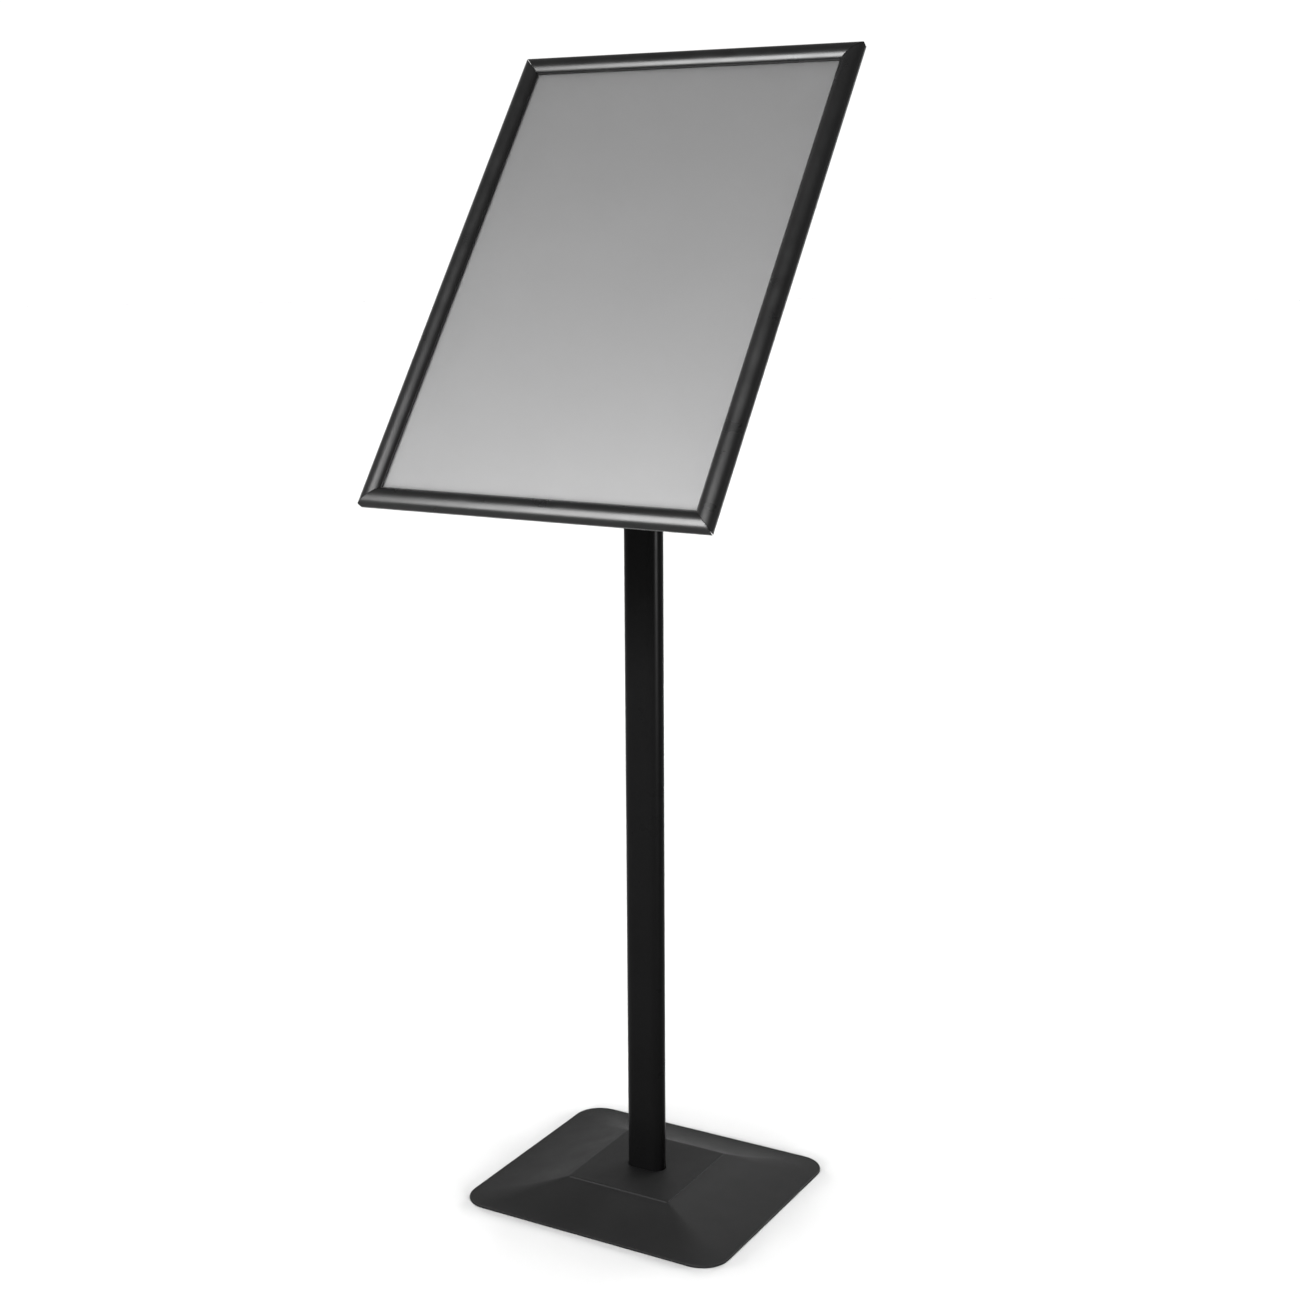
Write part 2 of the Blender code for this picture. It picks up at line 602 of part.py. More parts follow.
SIDES = {
    "bottom": (0, (0, -FRAME_HEIGHT / 2), FRAME_WIDTH),
    "right": (math.pi / 2, (FRAME_WIDTH / 2, 0), FRAME_HEIGHT),
    "top": (math.pi, (0, FRAME_HEIGHT / 2), FRAME_WIDTH),
    "left": (-math.pi / 2, (-FRAME_WIDTH / 2, 0), FRAME_HEIGHT),
}


def frame_rails(pivot):
    rails = {}
    section = rail_section()
    for name, (turn, middle, length) in SIDES.items():
        mesh = bar(section, lambda s, n, half=length / 2: half - MITRE_GAP - corner_setback(s))
        here = (middle[0], middle[1] - PIVOT_ABOVE_MIDDLE, PIVOT_TO_FRAME)
        rails[name] = place(f"rail_{name}", mesh, frame_black, pivot, here, (0, 0, turn))
    return rails


def snap_covers(pivot):
    section = cover_section()
    bead_reach = HINGE_S + BEAD_RADIUS

    for name, (turn, middle, length) in SIDES.items():

        def end(s, n, half=length / 2):
            on_bead = s < bead_reach and n <= HINGE_N + BEAD_RADIUS + GAP
            return half - MITRE_GAP - (bead_reach + BEAD_SETBACK if on_bead else corner_setback(s))

        mesh = bar(section, end)
        mesh.transform(Matrix.Translation((0, -HINGE_S, -HINGE_N)))
        inward = Vector((-math.sin(turn), math.cos(turn))) * HINGE_S
        here = (middle[0] + inward.x, middle[1] + inward.y - PIVOT_ABOVE_MIDDLE, PIVOT_TO_FRAME + HINGE_N)
        place(f"cover_{name}", mesh, frame_black, pivot, here, (0, 0, turn))


def corner_keys(pivot):
    low = SOCKET_BLOCK_S + KEY_SIDE_GAP
    high = UPRIGHT_FROM - KEY_SIDE_GAP
    outline = [(low, low), (KEY_LEG, low), (KEY_LEG, high), (high, high), (high, KEY_LEG), (low, KEY_LEG)]
    bottom = PIVOT_TO_FRAME + RAIL_FLOOR + GAP
    corners = (("bottom_left", -1, -1, 0), ("bottom_right", 1, -1, 1), ("top_right", 1, 1, 2), ("top_left", -1, 1, 3))
    for name, sx, sy, quarter in corners:
        mesh = loft([ring(outline, 0), ring(outline, KEY_THICKNESS)])
        here = (sx * FRAME_WIDTH / 2, sy * FRAME_HEIGHT / 2 - PIVOT_ABOVE_MIDDLE, bottom)
        place(f"corner_key_{name}", mesh, zinc, pivot, here, (0, 0, quarter * math.pi / 2))


def leaf_springs(pivot):
    foot = Vector((UPRIGHT_FROM - 2 * GAP - SPRING_THICKNESS / 2, RAIL_FLOOR + GAP + SPRING_THICKNESS / 2))
    tip_s = WEB_S + COVER_THICKNESS + GAP + SPRING_THICKNESS
    tip = Vector((tip_s, crown(tip_s, COVER_THICKNESS) - 4 * SPRING_THICKNESS))
    along = tip - foot
    across = Vector((along.y, -along.x)).normalized()
    middle = [
        foot + along * t + across * SPRING_BOW * math.sin(math.pi * t) for t in (i / ARC_STEPS for i in range(ARC_STEPS + 1))
    ]
    half = across * SPRING_THICKNESS / 2
    section = [tuple(p + half) for p in middle] + [tuple(p - half) for p in reversed(middle)]
    for name, (turn, edge, length) in SIDES.items():
        for number, sign in enumerate((-1, 1)):
            mesh = bar(section, lambda s, n: SPRING_WIDTH / 2)
            offset = Vector((math.cos(turn), math.sin(turn))) * sign * SPRING_PLACES * length
            here = (edge[0] + offset.x, edge[1] + offset.y - PIVOT_ABOVE_MIDDLE, PIVOT_TO_FRAME)
            place(f"leaf_spring_{name}_{number + 1}", mesh, spring_steel, pivot, here, (0, 0, turn))


def sheets(pivot):
    for name, back, thickness, material in (
        ("back_panel", PANEL_BACK, PANEL_THICKNESS, panel_grey),
        ("front_sheet", SHEET_BACK, FRONT_SHEET_THICKNESS, clear_film),
    ):
        low = PIVOT_TO_FRAME + back
        mesh = block(SHEET_WIDTH, SHEET_HEIGHT, low, low + thickness, 0.001)
        place(name, mesh, material, pivot, (0, -PIVOT_ABOVE_MIDDLE, 0))


# ---------------------------------------------------------------- assembly
base_cover()
foot_insert = ballast_and_foot()
tube = post_tube()
lock_screws(tube, foot_insert, "foot", (("foot_screw_front", -1, FOOT_SCREW_Z), ("foot_screw_back", 1, FOOT_SCREW_Z)))
head_insert = post_head()
spots = (("head_screw_upper", 1, POST_TOP - 0.25 * SPIGOT_LENGTH), ("head_screw_lower", 1, POST_TOP - 0.7 * SPIGOT_LENGTH))
lock_screws(tube, head_insert, "head", spots)
pivot_hardware()

tilt_pivot = bpy.data.objects.new("tilt_pivot", None)
parts.objects.link(tilt_pivot)
tilt_pivot.location = (0, 0, PIVOT_HEIGHT)
tilt_pivot.rotation_euler = (math.pi / 2 - TILT, 0, 0)

bars_behind = tilt_bracket(tilt_pivot)
frame_sides = frame_rails(tilt_pivot)
rail_screws(tilt_pivot, bars_behind, frame_sides)
snap_covers(tilt_pivot)
corner_keys(tilt_pivot)
leaf_springs(tilt_pivot)
sheets(tilt_pivot)
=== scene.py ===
"""The looks of the sign stand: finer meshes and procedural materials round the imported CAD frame."""

import json
import math

import bmesh
import bpy
from mathutils import Matrix, Vector


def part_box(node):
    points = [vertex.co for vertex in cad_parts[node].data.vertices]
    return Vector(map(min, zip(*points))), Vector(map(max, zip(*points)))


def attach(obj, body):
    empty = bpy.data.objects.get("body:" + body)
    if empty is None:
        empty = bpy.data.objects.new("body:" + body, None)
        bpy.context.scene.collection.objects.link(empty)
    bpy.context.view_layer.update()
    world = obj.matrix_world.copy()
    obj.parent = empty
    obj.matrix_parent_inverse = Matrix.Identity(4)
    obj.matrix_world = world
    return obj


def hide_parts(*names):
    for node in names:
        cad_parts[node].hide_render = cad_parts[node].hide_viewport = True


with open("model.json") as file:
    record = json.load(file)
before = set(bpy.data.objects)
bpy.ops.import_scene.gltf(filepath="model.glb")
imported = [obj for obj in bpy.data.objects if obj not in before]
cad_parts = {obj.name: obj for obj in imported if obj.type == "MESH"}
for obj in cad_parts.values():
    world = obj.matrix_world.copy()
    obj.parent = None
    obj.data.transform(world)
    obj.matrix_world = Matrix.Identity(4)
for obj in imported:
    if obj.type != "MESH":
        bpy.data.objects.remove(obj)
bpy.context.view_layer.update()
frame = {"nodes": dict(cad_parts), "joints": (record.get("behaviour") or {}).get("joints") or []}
nodes = frame["nodes"]
joints = {joint["name"]: joint for joint in frame["joints"]}

# ---------------------------------------------------------------- sizes, as the CAD has them
# In the sections of the rails and covers, s runs in from the frame's outer edge and n up from its back.
GAP = 0.0003  # between pieces that touch
MITRE_GAP = 0.0003
BAR_WIDTH = 0.025
FRAME_CORNER = 0.005
RAIL_FLOOR = 0.0014
HINGE_N = 0.0042
HINGE_S = 0.0027
BEAD_RADIUS = 0.0012
SOCKET_RADIUS = BEAD_RADIUS + GAP
SOCKET_FROM = math.radians(130)
SOCKET_TO = math.radians(325)
SOCKET_BLOCK_S = HINGE_S + HINGE_S * math.cos(SOCKET_TO)
WALL_S = 0.00105
UPRIGHT_TO = 0.0146
UPRIGHT_FROM = 0.0134
UPRIGHT_HEIGHT = 0.0066
RAIL_LIP_GAP = 0.0004
CROWN = 0.0125
ELLIPSE_N = 0.005
ELLIPSE_HALF_S = 0.0123
COVER_THICKNESS = 0.0012
OUTER_LIP_S = 0.00045
CROWN_END_S = 0.0232
FLANGE_TOP_N = 0.0072
FLANGE_BOTTOM_N = 0.0058
WEB_S = 0.0058
NECK_HALF = 0.0005
BEAD_SETBACK = 0.0045

BASE_RIM = 0.0028
COVER_WALL = 0.0018
PLATEAU_WIDTH = 0.142
PLATEAU_DEPTH = 0.148
PLATEAU_CORNER = 0.002
BASE_CORNER = 0.035
SLOPE_POWER = 1.7
POST_WALL = 0.002
POST_HOLE_CLEARANCE = 0.0004

base_low, base_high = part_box("base_cover")
BASE_WIDTH = base_high[0] - base_low[0]
BASE_DEPTH = base_high[1] - base_low[1]
PLATEAU_HEIGHT = base_high[2]
COVER_BOTTOM = base_low[2]
post_low, post_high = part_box("post")
POST_WIDTH = post_high[0] - post_low[0]
POST_DEPTH = post_high[1] - post_low[1]

# ---------------------------------------------------------------- the head's own frame
pivot = Vector(joints["head_tilt"]["pos_m"])
across = Vector((1, 0, 0))
up_panel = Vector(joints["cover_right_hinge"]["axis"]).normalized()
out_panel = across.cross(up_panel)
HEAD = Matrix.Translation(pivot) @ Matrix((across, up_panel, out_panel)).transposed().to_4x4()


def in_head(point):
    return HEAD.inverted() @ Vector(point)


right_hinge = in_head(joints["cover_right_hinge"]["pos_m"])
top_hinge = in_head(joints["cover_top_hinge"]["pos_m"])
bottom_hinge = in_head(joints["cover_bottom_hinge"]["pos_m"])
HALF_WIDTH = right_hinge.x + HINGE_S
HALF_HEIGHT = (top_hinge.y - bottom_hinge.y) / 2 + HINGE_S
MIDDLE_Y = (top_hinge.y + bottom_hinge.y) / 2
BACK_Z = right_hinge.z - HINGE_N

# ---------------------------------------------------------------- materials

# Sockets of a Mix node, by number, as the same names repeat for each kind of data.
MIX_NUMBERS = (2, 3)
MIX_NUMBERS_OUT = 0
MIX_COLORS = (6, 7)
MIX_COLORS_OUT = 2


class Paint:
    """A Principled material and short calls for the nodes that feed it."""

    def __init__(self, name, **values):
        self.material = bpy.data.materials.new(name)
        self.material.use_nodes = True
        self.tree = self.material.node_tree
        self.shader = self.tree.nodes["Principled BSDF"]
        self.place = self.tree.nodes.new("ShaderNodeTexCoord").outputs["Object"]
        for socket, value in values.items():
            self.shader.inputs[socket.replace("_", " ")].default_value = value

    def link(self, a, b):
        self.tree.links.new(a, b)

    def stretched(self, scale):
        node = self.tree.nodes.new("ShaderNodeMapping")
        node.inputs["Scale"].default_value = scale
        self.link(self.place, node.inputs["Vector"])
        return node.outputs["Vector"]

    def noise(self, scale, detail=3.0, roughness=0.55, place=None):
        node = self.tree.nodes.new("ShaderNodeTexNoise")
        node.inputs["Scale"].default_value = scale
        node.inputs["Detail"].default_value = detail
        node.inputs["Roughness"].default_value = roughness
        self.link(place or self.place, node.inputs["Vector"])
        return node.outputs["Fac"]

    def ranged(self, value, out_low=0.0, out_high=1.0, low=0.3, high=0.7):
        """Spreads the usual range of a noise over another range."""
        node = self.tree.nodes.new("ShaderNodeMapRange")
        self.link(value, node.inputs["Value"])
        limits = {"From Min": low, "From Max": high, "To Min": out_low, "To Max": out_high}
        for socket, number in limits.items():
            node.inputs[socket].default_value = number
        return node.outputs["Result"]

    def mixed(self, factor, *colors):
        node = self.tree.nodes.new("ShaderNodeMix")
        node.data_type = "RGBA"
        self.link(factor, node.inputs["Factor"])
        for socket, color in zip(MIX_COLORS, colors):
            node.inputs[socket].default_value = (*color, 1.0)
        return node.outputs[MIX_COLORS_OUT]

    def summed(self, *values, share=0.5):
        node = self.tree.nodes.new("ShaderNodeMix")
        node.inputs["Factor"].default_value = share
        for socket, value in zip(MIX_NUMBERS, values):
            self.link(value, node.inputs[socket])
        return node.outputs[MIX_NUMBERS_OUT]

    def color(self, value):
        self.link(value, self.shader.inputs["Base Color"])

    def roughness(self, value):
        self.link(value, self.shader.inputs["Roughness"])

    def bump(self, height, distance):
        node = self.tree.nodes.new("ShaderNodeBump")
        node.inputs["Distance"].default_value = distance
        self.link(height, node.inputs["Height"])
        self.link(node.outputs["Normal"], self.shader.inputs["Normal"])


PATCH_SCALE = 9.0
HANDLING_SCALE = 28.0
PEEL_SCALE = 260.0
ROUGH_SPREAD = 0.035  # to either side of a coat's roughness


def coat(name, dark, light, rough, grain, depth, peel, specular):
    """A powder coat: two close tones in soft patches, fine grains and a slight orange peel."""
    paint = Paint(name, Specular_IOR_Level=specular)
    patches = paint.noise(PATCH_SCALE, 4.0)
    speckle = paint.noise(grain, 2.0, 0.7)
    tone = paint.summed(patches, speckle, share=0.6)
    paint.color(paint.mixed(paint.ranged(tone, low=0.34, high=0.66), dark, light))
    handling = paint.noise(HANDLING_SCALE, 5.0)
    paint.roughness(paint.ranged(handling, rough - ROUGH_SPREAD, rough + ROUGH_SPREAD))
    fine = paint.ranged(speckle)
    waves = paint.ranged(paint.noise(PEEL_SCALE, 1.0))
    paint.bump(paint.summed(fine, waves, share=peel), depth)
    return paint.material


base_coat = coat(
    "base_textured_coat",
    dark=(0.0080, 0.0080, 0.0081),
    light=(0.0135, 0.0135, 0.0137),
    rough=0.56,
    grain=1300,
    depth=0.000085,
    peel=0.15,
    specular=0.132,
)
post_coat = coat(
    "post_satin_coat",
    dark=(0.0016, 0.0016, 0.0016),
    light=(0.0030, 0.0030, 0.0031),
    rough=0.30,
    grain=3200,
    depth=0.000010,
    peel=0.3,
    specular=0.035,
)
frame_coat = coat(
    "frame_satin_coat",
    dark=(0.0070, 0.0070, 0.0071),
    light=(0.0105, 0.0105, 0.0107),
    rough=0.30,
    grain=3400,
    depth=0.000006,
    peel=0.45,
    specular=0.26,
)
bracket_coat = coat(
    "bracket_coat",
    dark=(0.0090, 0.0090, 0.0092),
    light=(0.0160, 0.0160, 0.0162),
    rough=0.45,
    grain=2800,
    depth=0.000020,
    peel=0.3,
    specular=0.35,
)

CLOUD_SCALE = 60.0
STREAK_SPREAD = 0.08
STREAK_DEPTH = 0.000012


def metal(name, dark, light, rough, streak):
    """Bare or plated metal with faint lines from rolling or turning, and cloudy patches."""
    paint = Paint(name, Metallic=1.0)
    lines = paint.noise(1.0, 3.0, 0.6, paint.stretched(streak))
    clouds = paint.noise(CLOUD_SCALE, 4.0)
    tone = paint.ranged(paint.summed(lines, clouds), low=0.35, high=0.65)
    paint.color(paint.mixed(tone, dark, light))
    paint.roughness(paint.ranged(lines, rough - STREAK_SPREAD, rough + STREAK_SPREAD))
    paint.bump(lines, STREAK_DEPTH)
    return paint.material


zinc = metal(
    "zinc_plate",
    dark=(0.32, 0.33, 0.345),
    light=(0.47, 0.48, 0.50),
    rough=0.44,
    streak=(900, 900, 2600),
)
raw_steel = metal(
    "rolled_steel",
    dark=(0.24, 0.24, 0.245),
    light=(0.36, 0.36, 0.365),
    rough=0.46,
    streak=(60, 2200, 2200),
)
spring_steel = metal(
    "spring_steel",
    dark=(0.24, 0.25, 0.265),
    light=(0.36, 0.37, 0.385),
    rough=0.40,
    streak=(2400, 70, 2400),
)

nylon_paint = Paint("nylon", Specular_IOR_Level=0.4)
nylon_paint.color(nylon_paint.mixed(nylon_paint.noise(240.0), (0.66, 0.65, 0.60), (0.76, 0.75, 0.71)))
nylon_paint.roughness(nylon_paint.ranged(nylon_paint.noise(90.0), 0.42, 0.56))
nylon = nylon_paint.material

# The grey board: matte, with the faint clouding and tooth of rigid foam board.
board_paint = Paint("grey_board", Specular_IOR_Level=0.40, Coat_Weight=0.18, Coat_Roughness=0.42)
tooth = board_paint.noise(900.0, 2.0, 0.6)
cloud = board_paint.noise(5.0, 5.0, 0.6)
board_tone = board_paint.ranged(board_paint.summed(cloud, tooth))
board_paint.color(board_paint.mixed(board_tone, (0.236, 0.236, 0.237), (0.265, 0.265, 0.266)))
board_paint.roughness(board_paint.ranged(cloud, 0.50, 0.58))
board_paint.bump(tooth, 0.000008)
board = board_paint.material

# The clear sheet in front of it, with a fine anti-glare haze.
film_paint = Paint("clear_sheet", Alpha=0.14, Specular_IOR_Level=0.36)
haze = film_paint.noise(900.0, 2.0)
film_tone = film_paint.ranged(film_paint.noise(7.0))
film_paint.color(film_paint.mixed(film_tone, (0.29, 0.29, 0.29), (0.32, 0.32, 0.32)))
film_paint.roughness(film_paint.ranged(haze, 0.30, 0.40))
film_paint.bump(haze, 0.000004)
film = film_paint.material


def wear(obj, material):
    """Gives a CAD node one material."""
    obj.data.materials.clear()
    obj.data.materials.append(material)
    for polygon in obj.data.polygons:
        polygon.material_index = 0


# ---------------------------------------------------------------- mesh helpers

IDENTITY = Matrix.Identity(4)
SHARP_DEGREES = 38
ROUND_DEGREES = 50  # for the base's and the post's close rounds
BEVEL_DEGREES = 35


def piece(name, build, material, body, node, matrix=IDENTITY, edge=None, angle=SHARP_DEGREES):
    """Builds a mesh, moves it into place and hangs it on its body in place of a CAD node."""
    bm = bmesh.new()
    build(bm)
    bmesh.ops.recalc_face_normals(bm, faces=bm.faces)
    bm.transform(matrix)
    mesh = bpy.data.meshes.new(name)
    bm.to_mesh(mesh)
    bm.free()
    mesh.shade_smooth()
    mesh.set_sharp_from_angle(angle=math.radians(angle))
    obj = bpy.data.objects.new(name, mesh)
    bpy.context.scene.collection.objects.link(obj)
    mesh.materials.append(material)
    if edge:
        soften(obj, edge)
    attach(obj, body)
    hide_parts(node)
    return obj


def soften(obj, width):
    """Takes the sharp edges off with a small rounded bevel."""
    bevel = obj.modifiers.new("edges", "BEVEL")
    bevel.width = width
    bevel.segments = 2
    bevel.limit_method = "ANGLE"
    bevel.angle_limit = math.radians(BEVEL_DEGREES)
    bevel.use_clamp_overlap = True
    bevel.miter_outer = "MITER_ARC"


def arc(center, radius, start, end, steps):
    turns = [start + (end - start) * i / steps for i in range(steps + 1)]
    return [(center[0] + radius * math.cos(t), center[1] + radius * math.sin(t)) for t in turns]


def rounded_rectangle(width, depth, corner, corner_steps=14, side_steps=20):
    points = []
    signs = ((1, 1), (-1, 1), (-1, -1), (1, -1))
    centers = [(sx * (width / 2 - corner), sy * (depth / 2 - corner)) for sx, sy in signs]
    for i, center in enumerate(centers):
        start = i * math.pi / 2
        bend = arc(center, corner, start, start + math.pi / 2, corner_steps)
        begin = Vector(bend[-1])
        finish = Vector(centers[(i + 1) % 4]) + corner * Vector((-math.sin(start), math.cos(start)))
        points += bend
        points += [tuple(begin.lerp(finish, j / side_steps)) for j in range(1, side_steps)]
    return points


OVAL_STEPS = 24
OVAL_FLAT_STEPS = 6


def flat_oval(width, depth):
    radius = depth / 2
    flat = width / 2 - radius
    right = arc((flat, 0), radius, -math.pi / 2, math.pi / 2, OVAL_STEPS)
    left = arc((-flat, 0), radius, math.pi / 2, 1.5 * math.pi, OVAL_STEPS)
    along = [flat * (1 - 2 * j / OVAL_FLAT_STEPS) for j in range(1, OVAL_FLAT_STEPS)]
    return right + [(x, radius) for x in along] + left + [(-x, -radius) for x in along]


def flat_oval_towards(outline, width, depth):
    """A flat oval with each point in the same direction from the middle as an outline's point."""
    radius = depth / 2
    flat = width / 2 - radius
    points = []
    for x, y in outline:
        turn = math.atan2(y, x)
        c, s = abs(math.cos(turn)), abs(math.sin(turn))
        if s * flat > c * radius:
            reach = radius / s
        else:
            reach = flat * c + math.sqrt(radius**2 - (flat * s) ** 2)
        points.append((reach * math.cos(turn), reach * math.sin(turn)))
    return points


def ring(outline, z):
    return [Vector((x, y, z)) for x, y in outline]


def bridge(bm, rows):
    """Joins each closed row of vertices to the next with quads."""
    for low, high in zip(rows, rows[1:]):
        for i in range(len(low)):
            j = (i + 1) % len(low)
            bm.faces.new((low[i], low[j], high[j], high[i]))


def lofted(rings):
    """A shell through closed rings, with the last joined to the first."""

    def build(bm):
        rows = [[bm.verts.new(point) for point in one] for one in rings]
        bridge(bm, rows + rows[:1])

    return build


# ---------------------------------------------------------------- base


def slope_height(share):
    """The height of the slope, from the flat middle at share 0 to the rim at 1."""
    return BASE_RIM + (PLATEAU_HEIGHT - BASE_RIM) * (1 - share) ** SLOPE_POWER


def cover_outline(share, grow=0.0):
    """The outline there, or one that is larger by grow all round."""

    def between(inner, outer):
        return inner + (outer - inner) * share

    width = between(PLATEAU_WIDTH, BASE_WIDTH) + 2 * grow
    depth = between(PLATEAU_DEPTH, BASE_DEPTH) + 2 * grow
    return rounded_rectangle(width, depth, between(PLATEAU_CORNER, BASE_CORNER) + grow)


PLATEAU_STEP = 0.0005  # how far the slope starts below the flat middle
STEP_SPREAD = 12  # the step fades out over the first twelfth of the slope
STEP_ROUND = 0.0003
STEP_INSET = 0.2 * STEP_ROUND
RIM_ROUND = 0.0009
RIM_LOW_ROUND = 0.0005
RIM_LIFT = 0.0002  # of the rim's rounding above the foot of the slope
HOLE_ROUND = 0.0005
SLOPE_ROWS = 44
SLOPE_FROM = 0.992
INSIDE_ROWS = 12
QUARTER = (0.0, 0.5, 1.0, math.pi / 2)  # turns along a rounded edge
RIM_TURNS = (0.0, 0.4, 0.8, 1.2)
FLAT_SHARES = (0.06, 0.2, 0.4, 0.6, 0.8, 0.94)  # from the flat middle's edge to the post's hole


def step_drop(share):
    return PLATEAU_STEP * max(0.0, 1 - share * STEP_SPREAD)


def base_rings():
    rings = [ring(cover_outline(1.0, -RIM_LOW_ROUND), COVER_BOTTOM)]
    for t in QUARTER[1:]:
        inset = RIM_LOW_ROUND * (1 - math.sin(t))
        rings.append(ring(cover_outline(1.0, -inset), COVER_BOTTOM + RIM_LOW_ROUND * (1 - math.cos(t))))
    for t in RIM_TURNS:
        inset = RIM_ROUND * (1 - math.cos(t))
        rings.append(ring(cover_outline(1.0, -inset), BASE_RIM + RIM_LIFT - RIM_ROUND * (1 - math.sin(t))))
    for i in range(SLOPE_ROWS + 1):
        share = SLOPE_FROM * (1 - i / SLOPE_ROWS)
        outline = cover_outline(share, STEP_ROUND if i == SLOPE_ROWS else 0.0)
        rings.append(ring(outline, slope_height(share) - step_drop(share)))
    for t in QUARTER:
        grow = STEP_ROUND * math.cos(t) - STEP_INSET
        rings.append(ring(cover_outline(0.0, grow), PLATEAU_HEIGHT - STEP_ROUND * (1 - math.sin(t))))
    edge = cover_outline(0.0)
    width = POST_WIDTH + 2 * POST_HOLE_CLEARANCE
    depth = POST_DEPTH + 2 * POST_HOLE_CLEARANCE
    hole = flat_oval_towards(edge, width, depth)
    lip = flat_oval_towards(edge, width + 2 * HOLE_ROUND, depth + 2 * HOLE_ROUND)
    for t in FLAT_SHARES:
        outline = [tuple(Vector(a).lerp(Vector(b), t)) for a, b in zip(edge, lip)]
        rings.append(ring(outline, PLATEAU_HEIGHT))
    for t in QUARTER:
        outline = [tuple(Vector(a).lerp(Vector(b), math.sin(t))) for a, b in zip(lip, hole)]
        rings.append(ring(outline, PLATEAU_HEIGHT - HOLE_ROUND * (1 - math.cos(t))))
    rings.append(ring(hole, PLATEAU_HEIGHT - COVER_WALL))
    for i in range(INSIDE_ROWS):
        share = i / INSIDE_ROWS
        rings.append(ring(cover_outline(share), slope_height(share) - COVER_WALL - step_drop(share)))
    inside = cover_outline(1.0, -COVER_WALL)
    rings += [ring(inside, BASE_RIM - COVER_WALL), ring(inside, COVER_BOTTOM)]
    return rings


shell = lofted(base_rings())
base_shell = piece("base_shell", shell, base_coat, "base", "base_cover", angle=ROUND_DEGREES)

# ---------------------------------------------------------------- post

POST_ROUND = 0.0004
POST_ROWS = 24


def post_rings():
    bottom, top = post_low[2], post_high[2]
    outer = flat_oval(POST_WIDTH, POST_DEPTH)
    straight = top - POST_ROUND - bottom
    rows = [ring(outer, bottom + straight * i / POST_ROWS) for i in range(POST_ROWS + 1)]
    for t in QUARTER[1:]:
        inset = 2 * POST_ROUND * (1 - math.cos(t))
        outline = flat_oval(POST_WIDTH - inset, POST_DEPTH - inset)
        rows.append(ring(outline, top - POST_ROUND * (1 - math.sin(t))))
    inner = flat_oval(POST_WIDTH - 2 * POST_WALL, POST_DEPTH - 2 * POST_WALL)
    rows += [ring(inner, top), ring(inner, bottom)]
    return rows


tube = lofted(post_rings())
post_tube = piece("post_tube", tube, post_coat, "base", "post", angle=ROUND_DEGREES)

# ---------------------------------------------------------------- frame profiles


def rail_setback(s, _n):
    """How far the mitre, or the frame's rounded corner, cuts a bar's end back at s."""
    if s >= FRAME_CORNER * (1 - math.sqrt(0.5)):
        return s
    return FRAME_CORNER - math.sqrt(FRAME_CORNER**2 - (FRAME_CORNER - s) ** 2)


def cover_setback(s, n):
    """The same for a cover, whose bead ends further in."""
    if s < HINGE_S + BEAD_RADIUS and n <= HINGE_N + BEAD_RADIUS + GAP:
        return HINGE_S + BEAD_RADIUS + BEAD_SETBACK
    return rail_setback(s, n)


def crown(s, inset):
    """The cover's curved top at s, or its underside with an inset."""
    half = ELLIPSE_HALF_S - inset
    rise = CROWN - ELLIPSE_N - inset
    return ELLIPSE_N + rise * math.sqrt(max(0.0, 1 - ((s - ELLIPSE_HALF_S) / half) ** 2))


def crown_points(start, end, inset, steps):
    half = ELLIPSE_HALF_S - inset
    first = math.acos((ELLIPSE_HALF_S - start) / half)
    last = math.acos((ELLIPSE_HALF_S - end) / half)
    turns = [first + (last - first) * i / steps for i in range(steps + 1)]
    spots = [ELLIPSE_HALF_S - half * math.cos(turn) for turn in turns]
    return [(s, crown(s, inset)) for s in spots]


RAIL_NICK = 0.0003  # taken off the profiles' sharp edges
COVER_NICK = 0.00025


def rail_section():
    hinge = (HINGE_S, HINGE_N)
    low = math.pi + math.acos((HINGE_S - WALL_S) / HINGE_S)
    outside = arc(hinge, HINGE_S, low, SOCKET_FROM, steps=18)
    inside = arc(hinge, SOCKET_RADIUS, SOCKET_FROM, SOCKET_TO, steps=28)
    block_top = HINGE_N + HINGE_S * math.sin(SOCKET_TO)
    edge = BAR_WIDTH - RAIL_LIP_GAP
    nick = RAIL_NICK
    return (
        [(WALL_S + nick, 0), (WALL_S, nick)]
        + outside
        + inside
        + [(SOCKET_BLOCK_S, block_top), (SOCKET_BLOCK_S, RAIL_FLOOR), (UPRIGHT_FROM, RAIL_FLOOR)]
        + [(UPRIGHT_FROM, UPRIGHT_HEIGHT - nick), (UPRIGHT_FROM + nick, UPRIGHT_HEIGHT)]
        + [(UPRIGHT_TO - nick, UPRIGHT_HEIGHT), (UPRIGHT_TO, UPRIGHT_HEIGHT - nick)]
        + [(UPRIGHT_TO, RAIL_FLOOR), (edge - nick, RAIL_FLOOR), (edge, RAIL_FLOOR - nick)]
        + [(edge, nick), (edge - nick, 0)]
    )


